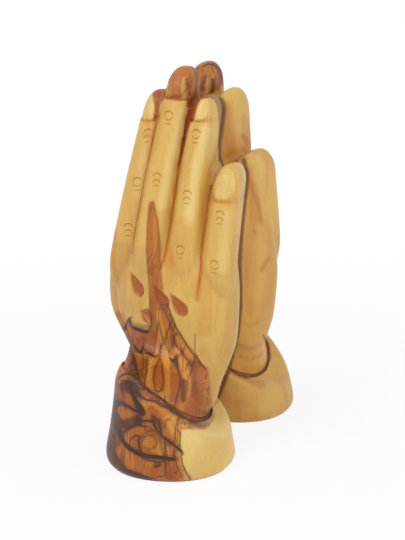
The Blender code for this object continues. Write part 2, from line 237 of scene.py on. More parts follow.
def section(side, out, y, z, outer, inner, half_y, power=2.0, inner_power=None, tilt_out=0.0,
            tilt=0.0, bow=0.0, turn=0.0, shear=0.0):
    """A superellipse |u/reach|^p + |v/half|^p = 1 whose outer and inner halves may differ."""
    angle = 2 * np.pi * np.arange(SECTION_POINTS) / SECTION_POINTS
    c, s = np.cos(angle), np.sin(angle)
    p = np.where(c > 0, power, inner_power or power)
    u = np.sign(c) * np.abs(c) ** (2 / p) * np.where(c > 0, outer, inner)
    v = np.sign(s) * np.abs(s) ** (2 / p) * half_y
    dx = u * np.cos(turn) - v * np.sin(turn)
    dy = u * np.sin(turn) + v * np.cos(turn) - shear * u
    dz = tilt_out * dx + tilt * dy + bow * dy * dy
    return np.stack([side * (out + dx), y + dy, z + dz], 1)


class Skin:
    """Vertices and faces gathered from many closed surfaces."""

    def __init__(self):
        self.points, self.faces, self.count = [], [], 0

    def add(self, points, faces):
        """Take in one closed surface, turned so that its faces look outwards."""
        points = np.asarray(points, float)
        volume = 0.0
        for face in faces:
            ring = points[list(face)]
            volume += np.cross(ring[1:-1] - ring[0], ring[2:] - ring[0]).dot(ring[0]).sum()
        turn = -1 if volume < 0 else 1
        self.points.append(points)
        self.faces += [[k + self.count for k in face[::turn]] for face in faces]
        self.count += len(points)

    def loft(self, sections):
        """A closed skin through rings of equal point count, flat at both ends."""
        n = len(sections[0])
        faces = []
        for i in range(len(sections) - 1):
            for j in range(n):
                m = (j + 1) % n
                faces.append([i * n + j, i * n + m, (i + 1) * n + m, (i + 1) * n + j])
        last = (len(sections) - 1) * n
        faces.append(list(range(n))[::-1])
        faces.append(list(range(last, last + n)))
        self.add(np.concatenate(sections), faces)

    def tube(self, path, radius, closed=False, sides=10):
        """A round bar along a path: centre + radius (wide cos a + high sin a)."""
        path = np.asarray(path, float)
        if closed:
            along = np.roll(path, -1, 0) - np.roll(path, 1, 0)
        else:
            along = np.gradient(path, axis=0)
        along /= np.linalg.norm(along, axis=1)[:, None]
        wide = np.cross(along, (0.3, 0.2, 1.0))
        wide /= np.linalg.norm(wide, axis=1)[:, None]
        high = np.cross(along, wide)
        a = 2 * np.pi * np.arange(sides) / sides
        radius = np.broadcast_to(radius, len(path))[:, None, None]
        rings = path[:, None] + radius * (wide[:, None] * np.cos(a)[None, :, None]
                                          + high[:, None] * np.sin(a)[None, :, None])
        if not closed:
            self.loft(list(rings))
            return
        n, faces = len(path), []
        for i in range(n):
            for j in range(sides):
                k, m = (i + 1) % n, (j + 1) % sides
                faces.append([i * sides + j, i * sides + m, k * sides + m, k * sides + j])
        self.add(rings.reshape(-1, 3), faces)

    def slab(self, floor, cover):
        """A thin solid between two grids of equal shape."""
        rows, cols = floor.shape[:2]
        size = rows * cols
        faces = []
        for i in range(rows - 1):
            for j in range(cols - 1):
                a, b = i * cols + j, (i + 1) * cols + j
                faces.append([a, b, b + 1, a + 1])
                faces.append([a + size, a + 1 + size, b + 1 + size, b + size])
        border = list(range(cols - 1))
        border += [i * cols + cols - 1 for i in range(rows - 1)]
        border += [(rows - 1) * cols + j for j in range(cols - 1, 0, -1)]
        border += [i * cols for i in range(rows - 1, 0, -1)]
        for a, b in zip(border, border[1:] + border[:1]):
            faces.append([a, b, b + size, a + size])
        self.add(np.concatenate([floor.reshape(-1, 3), cover.reshape(-1, 3)]), faces)

    def mesh(self, name):
        data = bpy.data.meshes.new(name)
        data.from_pydata(np.concatenate(self.points) * MM, [], self.faces)
        data.update()
        return data


def dome_scale(name, z):
    """A fingertip's size as a share, (1 - rise^2)^power, with rise from 0 to 1 up its dome."""
    rise = np.maximum(0.0, (z - (HEIGHT - FINGERS[name][0] - TIP_DOME)) / TIP_DOME)
    return np.maximum(0.0, 1 - rise ** 2) ** DOME_POWER


def finger_share(name, z):
    """0 at the knuckles and 1 at the finger's tip."""
    return (z - KNUCKLE_HEIGHT) / (HEIGHT - FINGERS[name][0] - KNUCKLE_HEIGHT)


def finger_place(name, z):
    return mix(FINGERS[name][1], FINGERS[name][2], finger_share(name, z))


def finger_half(name, z):
    return mix(FINGERS[name][3], FINGERS[name][4], finger_share(name, z)) / 2 * dome_scale(name, z)


def finger_back(name, z):
    """How far out a finger's ridge lies: it leans in with rise^bend, less the finger's drop."""
    low = KNUCKLE_HEIGHT - BACK_BEND_DROP
    rise = max(0.0, z - low) / (HEIGHT - low)
    ridge = KNUCKLE_BACK - (KNUCKLE_BACK - TIP_BACK) * rise ** BACK_BEND
    return ridge - RIDGE_DROP[name] * mix(1.0, TIP_DROP_SHARE, max(0.0, finger_share(name, z)))


def add_finger(skin, side, name):
    """Sections carried up one finger, whose root sinks into the hand."""
    tip = HEIGHT - FINGERS[name][0]
    heights = list(np.linspace(ROOT_HEIGHT, tip - TIP_DOME, FINGER_RINGS))
    heights += [tip - TIP_DOME * (1 - math.sin(math.pi / 2 * k / (TIP_RINGS + 0.5)))
                for k in range(1, TIP_RINGS + 1)]
    sections = []
    for z in heights:
        scale = dome_scale(name, z)
        fade = max(0.0, ROOT_HEIGHT + ROOT_LENGTH - z) / ROOT_LENGTH
        back = finger_back(name, z) - ROOT_SINK * fade ** 2
        out = back - RIDGE_ROUND + TIP_LEAN * (1 - scale)
        sections.append(section(
            side, out, finger_place(name, z), z, (back - out) * scale,
            (out + PALM_OVERLAP) * scale * (1 - 0.5 * fade),
            finger_half(name, z) * (1 - 0.25 * fade ** 2), RIDGE_SQUARE, PALM_SQUARE,
            shear=mix(*LEANS[name], finger_share(name, z))))
    skin.loft(sections)


def add_hand(skin, side):
    for name in HANDS[side]:
        add_finger(skin, side, name)
    skin.loft([
        section(side, out, y, z, outer, inner, half, power, inner_power,
                RIM_TILT_OUT * tilt / RIM_TILT, tilt, bow, shear=PALM_SHEAR)
        for z, out, outer, inner, y, half, tilt, bow, power, inner_power
        in smooth_rows(PALM_SECTIONS, SECTION_STEPS)])
    skin.loft([section(side, out, y, z, thick, thick, half)
               for z, out, y, thick, half in smooth_rows(THUMB_SECTIONS, SECTION_STEPS)])
    skin.loft([
        section(side, out, y, z, half_out, half_out, half, CUFF_SQUARE, None, RIM_TILT_OUT * t,
                RIM_TILT * t, RIM_BOW * t, mix(CUFF_TURN, RIM_TURN, t))
        for z, t, out, y, half_out, half in smooth_rows(CUFF_SECTIONS, SECTION_STEPS)])


def add_object(name, data):
    made = bpy.data.objects.new(name, data)
    bpy.context.scene.collection.objects.link(made)
    return made


def evaluated_copy(item):
    graph = bpy.context.evaluated_depsgraph_get()
    graph.update()
    return bpy.data.meshes.new_from_object(item.evaluated_get(graph))


def coordinates(data):
    points = np.zeros(3 * len(data.vertices), np.float32)
    data.vertices.foreach_get("co", points)
    return points.reshape(-1, 3)


class Surface:
    """The melted skin, asked where its outer side is."""

    def __init__(self, data):
        self.tree = BVHTree.FromPolygons(
            [tuple(v.co) for v in data.vertices], [tuple(p.vertices) for p in data.polygons])

    def at(self, side, y, z):
        """Point and outward normal of the back of a hand, in millimetres."""
        far = Vector((side * 0.12, y * MM, z * MM))
        point, normal, _, _ = self.tree.ray_cast(far, Vector((-side, 0, 0)))
        if point is None:
            near = Vector((side * TIP_BACK * MM, y * MM, z * MM))
            point, normal, _, _ = self.tree.find_nearest(near)
        return np.array(point) / MM, np.array(normal)

    def depth(self, points):
        """How far each point lies under the skin, in millimetres."""
        return np.array([self.tree.find_nearest(Vector(p))[3] for p in points]) / MM


def nail_rise(u, v):
    """1 on the nail and 0 round it: a rounded box |u/0.88|^3 + |(v-0.54)/0.46|^3 = 1."""
    r = (np.abs(u / 0.88) ** 3 + np.abs((v - 0.54) / 0.46) ** 3) ** (1 / 3)
    return ease(r, 1.07, 0.93)


def add_nail(skin, surface, side, name):
    """A slab over the fingertip whose floor lies deep round the nail and rises to its plate."""
    tip = HEIGHT - FINGERS[name][0]
    low, high = tip - FINGERS[name][5], tip - NAIL_STOP
    rows, cols = 25, 21
    floor, cover = np.zeros((rows, cols, 3)), np.zeros((rows, cols, 3))
    for i in range(rows):
        v = i / (rows - 1)
        for j in range(cols):
            u = 2 * j / (cols - 1) - 1
            z = mix(low + NAIL_ARCH * u ** 4, high, v)
            share = NAIL_SHARE * (1 - 0.2 * v ** 4)
            y = finger_place(name, z) + share * finger_half(name, z) * u
            point, normal = surface.at(side, y, z)
            deep = NAIL_DEPTH * ease(v, 1.0, 0.62) * (0.45 + 0.55 * ease(abs(u), 1.0, 0.75))
            floor[i, j] = point - normal * (deep - min(NAIL_RISE, 0.8 * deep) * nail_rise(u, v))
            cover[i, j] = point + normal * 3
    skin.slab(floor, cover)


def add_gouge(skin, surface, side, y, z):
    """A petal: parallel rings whose radius and height over the skin swell to the widest place."""
    radius = (GOUGE_HALF ** 2 + GOUGE_DEPTH ** 2) / (2 * GOUGE_DEPTH)
    step = 0.5 * GOUGE_LENGTH * np.array(GOUGE_LEAN)
    top = surface.at(side, y + step[0], z + step[1])[0]
    foot = surface.at(side, y - step[0], z - step[1])[0]
    along = (foot - top) / np.linalg.norm(foot - top)
    wide = np.cross(along, surface.at(side, y, z)[1])
    wide /= np.linalg.norm(wide)
    high = np.cross(wide, along)
    a = 2 * np.pi * np.arange(GOUGE_SIDES) / GOUGE_SIDES
    rings = []
    for t in np.linspace(0.005, 0.995, GOUGE_RINGS):
        if t < GOUGE_WIDEST:
            share = (t / GOUGE_WIDEST) ** GOUGE_SWELL
        else:
            share = math.sqrt(1 - ((t - GOUGE_WIDEST) / (1 - GOUGE_WIDEST)) ** 2)
        skin_point = surface.at(side, y + step[0] * (1 - 2 * t), z + step[1] * (1 - 2 * t))[0]
        centre = top + (foot - top) * t
        centre = centre + high * ((skin_point - centre).dot(high) + (radius - GOUGE_DEPTH) * share)
        rings.append(centre + radius * share * (wide * np.cos(a)[:, None]
                                                + high * np.sin(a)[:, None]))
    skin.loft(rings)


def add_crease(skin, surface, side, y, z, turn):
    """Two arches, one over the other or face to face, and a short bar under them."""
    angle = np.linspace(0, math.pi, 13)
    second = (CREASE_DROP * (0.6 + 0.4 * turn), CREASE_SECOND, turn)
    for drop, size, rise in ((0, 1, 1), second):
        arch = [surface.at(side, y + size * CREASE_HALF * math.cos(a),
                           z - drop + rise * size * CREASE_RISE * math.sin(a))[0] for a in angle]
        skin.tube(arch, size * (0.2 + 0.32 * np.sin(angle) ** 0.5), sides=8)
    bar = [surface.at(side, y + CREASE_HALF * 0.75 * t, z - CREASE_DROP - CREASE_BAR_DROP)[0]
           for t in np.linspace(-1, 1, len(CREASE_BAR))]
    skin.tube(bar, CREASE_BAR, sides=8)


def gap_path(surface, side, first, second, low, high):
    """The lowest line of the hollow between two fingers, found by scanning across it."""
    path = []
    for z in np.arange(low, high, 2.0):
        middle = (finger_place(first, z) - finger_half(first, z)
                  + finger_place(second, z) + finger_half(second, z)) / 2
        tries = [surface.at(side, middle + step, z)[0] for step in np.linspace(-3, 3, 25)]
        path.append(min(tries, key=lambda p: abs(p[0])))
    path = np.array(path)
    for _ in range(3):
        path[1:-1] = (path[:-2] + 2 * path[1:-1] + path[2:]) / 4
    return path


def rim_path(side, steps=160):
    """The tilted, bowed ellipse in which the wrist meets the cuff."""
    a = 2 * np.pi * np.arange(steps) / steps
    u, v = RIM_HALF_OUT * np.cos(a), RIM_HALF_ACROSS * np.sin(a)
    dx = u * np.cos(RIM_TURN) - v * np.sin(RIM_TURN)
    dy = u * np.sin(RIM_TURN) + v * np.cos(RIM_TURN)
    dz = RIM_TILT_OUT * dx + RIM_TILT * dy + RIM_BOW * dy * dy
    return np.stack([side * (RIM_OUT + dx), RIM_ACROSS + dy, RIM_HEIGHT + dz], 1)


def box_faces(low, high):
    points = np.array([(x, y, z) for x in (low[0], high[0]) for y in (low[1], high[1])
                       for z in (low[2], high[2])], float)
    faces = [[0, 1, 3, 2], [4, 6, 7, 5], [0, 4, 5, 1], [2, 3, 7, 6], [0, 2, 6, 4], [1, 5, 7, 3]]
    return points, faces


def carve():
    """The whole statue as one closed mesh, with its skin before cutting and its gap lines."""
    rough = Skin()
    for side in (-1, 1):
        add_hand(rough, side)
    rough.loft([section(1, 0, y, z, thick, thick, half)
                for z, y, half, thick in smooth_rows(CORE_SECTIONS, SECTION_STEPS)])
    block = add_object("block", rough.mesh("block"))
    melt = block.modifiers.new("melt", "REMESH")
    melt.mode = "VOXEL"
    melt.voxel_size = VOXEL * MM
    soften = block.modifiers.new("soften", "SMOOTH")
    soften.factor = 0.5
    soften.iterations = SOFTEN_STEPS
    surface = Surface(evaluated_copy(block))

    ground, cutter = Skin(), Skin()
    ground.add(*box_faces((-140, -140, -60), (140, 140, 0)))
    gaps = []
    for side in (-1, 1):
        cutter.tube(rim_path(side), RIM_GROOVE, True)
        for name in HANDS[side]:
            add_nail(cutter, surface, side, name)
            for k, share in enumerate(CREASES[name][1:]):
                z = mix(KNUCKLE_HEIGHT, HEIGHT - FINGERS[name][0], share)
                y = finger_place(name, z) - CREASES[name][0]
                add_crease(cutter, surface, side, y, z, 1 if (k + len(name)) % 2 else -1)
        for y, fall in GOUGES:
            add_gouge(cutter, surface, side, y, KNUCKLE_HEIGHT - fall)
        for first, second, low, high, radius in GAPS:
            path = gap_path(surface, side, HANDS[side][first], HANDS[side][second], low, high)
            taper = np.clip(np.linspace(0, 8, len(path)), 0.1, 1)
            cutter.tube(path, radius * taper)
            gaps.append(path)
    # The cutters are joined into one clean tool first, because they overlap one another
    table = add_object("table", ground.mesh("table"))
    tool = add_object("tool", cutter.mesh("tool"))
    for item, operation, other in ((tool, "UNION", table), (block, "DIFFERENCE", tool)):
        cut = item.modifiers.new("cut", "BOOLEAN")
        cut.operation = operation
        cut.solver = "EXACT"
        cut.use_self = item is tool
        cut.object = other
    carved = evaluated_copy(block)
    for item in (block, tool, table):
        bpy.data.objects.remove(item, do_unlink=True)
    return carved, surface, gaps


CAMERA_AZIMUTH = math.radians(22.8)
CAMERA_RISE = math.radians(13.9)
CAMERA_DISTANCE = 708.0
TARGET_SIDE = -1.5
TARGET_HEIGHT = 90.8


def camera_axes():
    """The eye's directions ahead, to the right and up."""
    ahead = np.array([math.cos(CAMERA_AZIMUTH) * math.cos(CAMERA_RISE),
                      math.sin(CAMERA_AZIMUTH) * math.cos(CAMERA_RISE), -math.sin(CAMERA_RISE)])
    right = np.array([math.sin(CAMERA_AZIMUTH), -math.cos(CAMERA_AZIMUTH), 0.0])
    return ahead, right, np.cross(right, ahead)


# The figure is drawn on a sheet held before the nearer hand and carried into the wood along the
# lines of sight of one eye. On the sheet x runs right and y down, in 1/1330 of the distance.
SHEET = 1330.0
SHEET_MIDDLE = (202.5, 270.0)


def on_sheet(points):
    """Where points, in millimetres, show on the sheet."""
    ahead, right, high = camera_axes()
    away = points - (np.array([0, 0, TARGET_HEIGHT]) + right * TARGET_SIDE
                     - ahead * CAMERA_DISTANCE)
    deep = away @ ahead
    return (SHEET_MIDDLE[0] + SHEET * (away @ right) / deep,
            SHEET_MIDDLE[1] - SHEET * (away @ high) / deep)


PALE = (232, 208, 146)
SAP = (224, 189, 117)
TAN = (205, 163, 104)
HONEY = (214, 160, 80)
GOLD = (216, 152, 74)
# Pale colour of the highlights painted along the fingers
HIGHLIGHT_CREAM = (243, 226, 172)
COPPER = (208, 140, 64)
ORANGE = (200, 127, 53)
AMBER = (184, 111, 50)
RUST = (171, 87, 35)
BROWN = (138, 74, 32)
DARK = (82, 40, 20)
# What the polish's sheen adds to red, green and blue is taken off the colours
POLISH = (0.93, 0.855, 0.62)

# Areas: colour, softness of the edge, outline
NEAR_AREAS = (
    (AMBER, 1.2, 152, 92, 157, 87, 164, 89, 165, 97, 161, 103, 158, 116, 156, 121, 153, 121, 154.5,
     108),
    (ORANGE, 1.0, 163, 98, 165, 85, 170, 70, 180, 61, 192, 60, 202, 67, 208, 80, 206, 95, 197, 100,
     188, 100, 176, 100),
    (RUST, 1.2, 187, 100, 197, 94, 203, 95, 198, 103, 194.5, 119, 190, 124, 187, 135, 184, 148,
     181, 162, 178, 168, 177, 166, 181, 148, 184, 130, 186, 113),
    (ORANGE, 0.8, 152, 199, 154, 203, 156, 212, 158, 225, 159.5, 236, 160.5, 262, 161, 275, 162.5,
     288, 165, 298, 167.5, 304.6, 171, 315, 176.4, 328, 182.7, 338.6, 188.9, 347.5, 193.4, 354.6,
     195, 353, 199.6, 361.8, 205.9, 369, 209, 373, 211, 384, 212.5, 394, 213.5, 404, 212, 411, 205,
     424, 180, 424, 150, 405, 128, 375, 116, 345, 112, 320, 118.4, 309, 115.7, 317, 118.4, 324,
     124.6, 329, 129.6, 318, 131, 327, 135.4, 328, 140.7, 329.6, 147.9, 331.5, 150.5, 327.9, 151.4,
     320.7, 142, 311, 149.6, 309.1, 149.6, 297.5, 148.8, 275, 146.5, 253, 147, 235, 148, 220, 150,
     206),
    (AMBER, 0.8, 128.6, 365.4, 118, 366, 112, 380, 110, 400, 104, 430, 102, 450, 108, 475, 130,
     486, 160, 490, 192, 488, 191, 479, 185.7, 471.6, 182, 462.7, 180.8, 452, 179.9, 440.4, 180.8,
     429.6, 189.3, 429.6, 196.4, 428.8, 202.7, 429.6, 209.8, 426, 212.5, 420.7, 214.3, 413.6, 212,
     408.2, 208.9, 414.5, 203.6, 419.8, 196.4, 421.6, 187.5, 419, 180.4, 413.6, 171.4, 407.3,
     162.5, 399.3, 153.6, 393, 144.6, 386, 135.7, 377),
    (GOLD, 0.8, 175.9, 425.2, 174.6, 436, 175, 447.5, 175.9, 461, 178.6, 469, 183, 486, 193, 486,
     191, 479, 185.7, 471.6, 182.1, 462.7, 180.8, 452, 179.9, 440.4, 180.8, 429.6, 189, 427, 189,
     421, 181, 420),
    (PALE, 0.7, 181.5, 430, 189.3, 430, 196.4, 429.2, 202.7, 430, 210, 426.5, 213, 421, 216, 408,
     224, 396, 250, 400, 250, 490, 192, 490, 191, 479, 186, 471.6, 182.5, 462.7, 181.2, 452, 180.5,
     440.4),
)
# Brush lines: colour, half width, softness, strength, path
NEAR_BRUSH = (
    (TAN, 1.2, 1.5, 0.9, 167, 84, 166, 95),
    (ORANGE, 2.5, 2, 0.9, 175, 85, 176, 97),
    (GOLD, 3, 3, 0.6, 176, 70, 184, 68, 190, 72),
    (SAP, 1.3, 1.2, 1, 184.5, 78, 182.5, 85, 183, 92, 184.5, 96),
    (BROWN, 0.9, 1, 0.9, 186.6, 79, 188, 86, 189.4, 94),
    (BROWN, 1.3, 1.4, 0.9, 192, 65, 196, 70.5, 197.6, 78, 196.6, 88, 194.6, 95),
    (TAN, 1.5, 1.5, 0.9, 193, 64, 202, 70, 201, 80, 199.5, 91),
    # Painted shadow under the step at the base of the middle fingernail
    (RUST, 0.8, 1, 0.9, 164, 97, 170, 98.6, 180, 99.2, 187, 99.2),
    (AMBER, 1.4, 1.4, 0.8, 195, 108, 199, 99, 206, 95.4, 214, 96.4),
    # Dark stain with painted shade down the right side of the ring finger
    (BROWN, 1.4, 1.4, 0.85, 203, 96.6, 210, 95.4, 216, 98, 219, 104, 220.6, 114, 221, 128, 221,
     145, 220.5, 160),
    # Painted shade down the left side of the index finger
    (TAN, 5, 8, 0.25, 143, 140, 130, 210, 116, 270),
    # Painted highlights along the ridges of the middle, ring, little and index fingers
    (HIGHLIGHT_CREAM, 1.5, 7, 0.5, 184, 112, 179, 130, 172, 155, 167, 180, 162, 205),
    (HIGHLIGHT_CREAM, 1.5, 7, 0.6, 206, 130, 201, 145, 197, 165, 193, 190, 188, 222),
    (HIGHLIGHT_CREAM, 1, 8, 0.4, 227, 214, 226, 238, 223, 268),
    (HIGHLIGHT_CREAM, 1, 6, 0.3, 148, 140, 142, 165, 137, 195),
    (GOLD, 1.6, 2, 0.8, 114, 231, 112.5, 255, 111, 270, 110, 287),
    # Painted shade on the left side of the hand and the palm below the index finger
    (TAN, 6, 6, 0.8, 122, 250, 119, 275, 117, 300, 117, 316),
    (TAN, 6, 6, 0.5, 140, 255, 142, 285, 134, 305),
    (HONEY, 4, 5, 0.5, 171, 262, 170, 285),
    (HONEY, 5, 6, 0.35, 183, 225, 181, 262, 190, 290),
    (GOLD, 3.5, 4, 0.5, 167, 250, 170, 264),
    (HONEY, 4, 6, 0.4, 206, 280, 205, 330),
    # Painted shade down the little-finger side of the nearer hand
    (TAN, 4, 6, 0.55, 240, 240, 238, 290, 228, 345, 216, 385),
    (TAN, 3, 4, 0.6, 204, 352, 213, 372, 214, 400),
    (AMBER, 2.2, 1.6, 0.85, 151.5, 204, 150.5, 225, 149.5, 250, 150, 272),
    (COPPER, 2.2, 2, 0.9, 155.5, 220, 156.5, 240, 157, 262),
    (AMBER, 3, 3, 0.5, 155, 270, 156, 282, 158, 294),
    (ORANGE, 3, 2, 0.85, 145.5, 314, 146.5, 319),
    (BROWN, 1.4, 3, 0.6, 132, 325, 140, 327, 148, 328),
    (AMBER, 4, 3, 0.7, 156, 300, 157, 312, 161, 322),
    (BROWN, 2.5, 2.5, 0.5, 152, 334, 150, 345, 147, 352),
    (BROWN, 1.8, 2.5, 0.5, 172, 338, 177, 352, 178, 360),
    (BROWN, 2, 2.5, 0.55, 190, 366, 194, 384, 193, 396),
    (GOLD, 2.2, 1.8, 0.85, 158, 313, 160, 322, 162, 333, 165, 345, 168, 352, 170, 358),
    (AMBER, 5, 3, 0.85, 118, 318, 127, 336, 136, 338, 146, 338),
    (BROWN, 3, 3, 0.6, 128, 338, 134, 348, 143, 340),
    (BROWN, 3.5, 3, 0.8, 124, 346, 130, 356, 135, 372),
    (GOLD, 2.6, 1.2, 0.95, 150, 357, 149.5, 366, 149, 378, 150, 386, 156, 394, 163, 400),
    (GOLD, 1.6, 1.4, 0.8, 158, 334, 156, 344, 157, 352),
    (AMBER, 2.8, 1.2, 0.9, 140, 356, 139.5, 366, 140, 378),
    (GOLD, 3, 1.2, 0.95, 165, 352, 167, 364, 169, 376, 169.5, 388, 165, 397, 170, 402),
    (AMBER, 3, 1.4, 0.9, 158.5, 368, 158.5, 380, 158.5, 388),
    (GOLD, 3, 1.4, 0.95, 177, 350, 181, 360, 185, 371, 188, 382, 187, 395, 182, 408),
    (AMBER, 3.2, 1.6, 0.9, 174, 366, 176, 378, 176, 390, 173, 400),
    (BROWN, 1.8, 1.2, 0.85, 183.5, 381, 184, 392, 183, 400),
    (BROWN, 4, 3, 0.8, 197, 366, 198, 380, 198, 395),
    (AMBER, 4, 4, 0.8, 204, 372, 205, 392, 203, 408),
    (RUST, 3.5, 3, 0.6, 195, 398, 197, 412, 203, 414),
    (TAN, 0.4, 3, 0.6, 211, 374, 213.5, 388, 215, 402),
    (GOLD, 2.5, 2, 0.7, 178, 334, 184, 344, 190, 354),
    (AMBER, 4, 3, 0.6, 190, 402, 190, 412),
    # cuff
    (BROWN, 8, 4, 0.9, 117, 380, 115, 400, 113, 425, 110, 450, 117, 468),
    (DARK, 2.5, 4, 0.7, 113, 398, 112, 425, 108, 450),
    (DARK, 3.6, 2, 0.85, 124, 385, 130, 382, 134, 388, 138, 400, 142, 412),
    (DARK, 4.5, 3, 0.85, 120, 408, 126, 424, 137, 421),
    (ORANGE, 3.2, 2, 0.9, 121, 410, 124, 415, 128, 414),
    (ORANGE, 3.5, 2, 0.8, 119, 378, 125, 373, 133, 377),
    (GOLD, 1.6, 1.4, 0.9, 135, 396, 139, 401, 143, 403, 150, 404, 157, 407, 165, 413, 174, 418),
    (GOLD, 4, 3, 0.8, 146, 403, 150, 407, 160, 410, 168, 418, 172, 428),
    (TAN, 1.6, 1.4, 0.8, 137, 397, 141, 403, 146, 402),
    (ORANGE, 6, 3, 0.9, 140, 432, 150, 428, 160, 432),
    (GOLD, 5, 2.5, 0.9, 148, 443, 155, 446, 163, 452),
    (COPPER, 5.5, 1.5, 0.95, 149, 442, 150, 443),
    (GOLD, 3.5, 3, 0.7, 160, 412, 166, 424, 170, 436),
    (RUST, 2.5, 2.5, 0.7, 150, 409, 156, 414, 163, 424, 168, 436),
    (ORANGE, 6, 3, 0.95, 132, 460, 142, 464, 150, 470),
    (GOLD, 1.8, 2, 0.8, 150, 463, 158, 464),
    (AMBER, 8, 4, 0.85, 160, 472, 172, 474),
    (RUST, 3, 3, 0.6, 168, 466, 172, 478),
    (DARK, 4, 3, 0.75, 110, 436, 109, 452, 114, 464, 122, 472),
    (AMBER, 2.5, 2.5, 0.8, 119, 450, 124, 462, 130, 470),
    (DARK, 3, 2, 0.85, 130, 474, 140, 478, 152, 482),
    (TAN, 3, 3, 0.7, 196, 425, 205, 424, 212, 415),
    (SAP, 10, 8, 0.6, 205, 465, 215, 450, 200, 478),
)
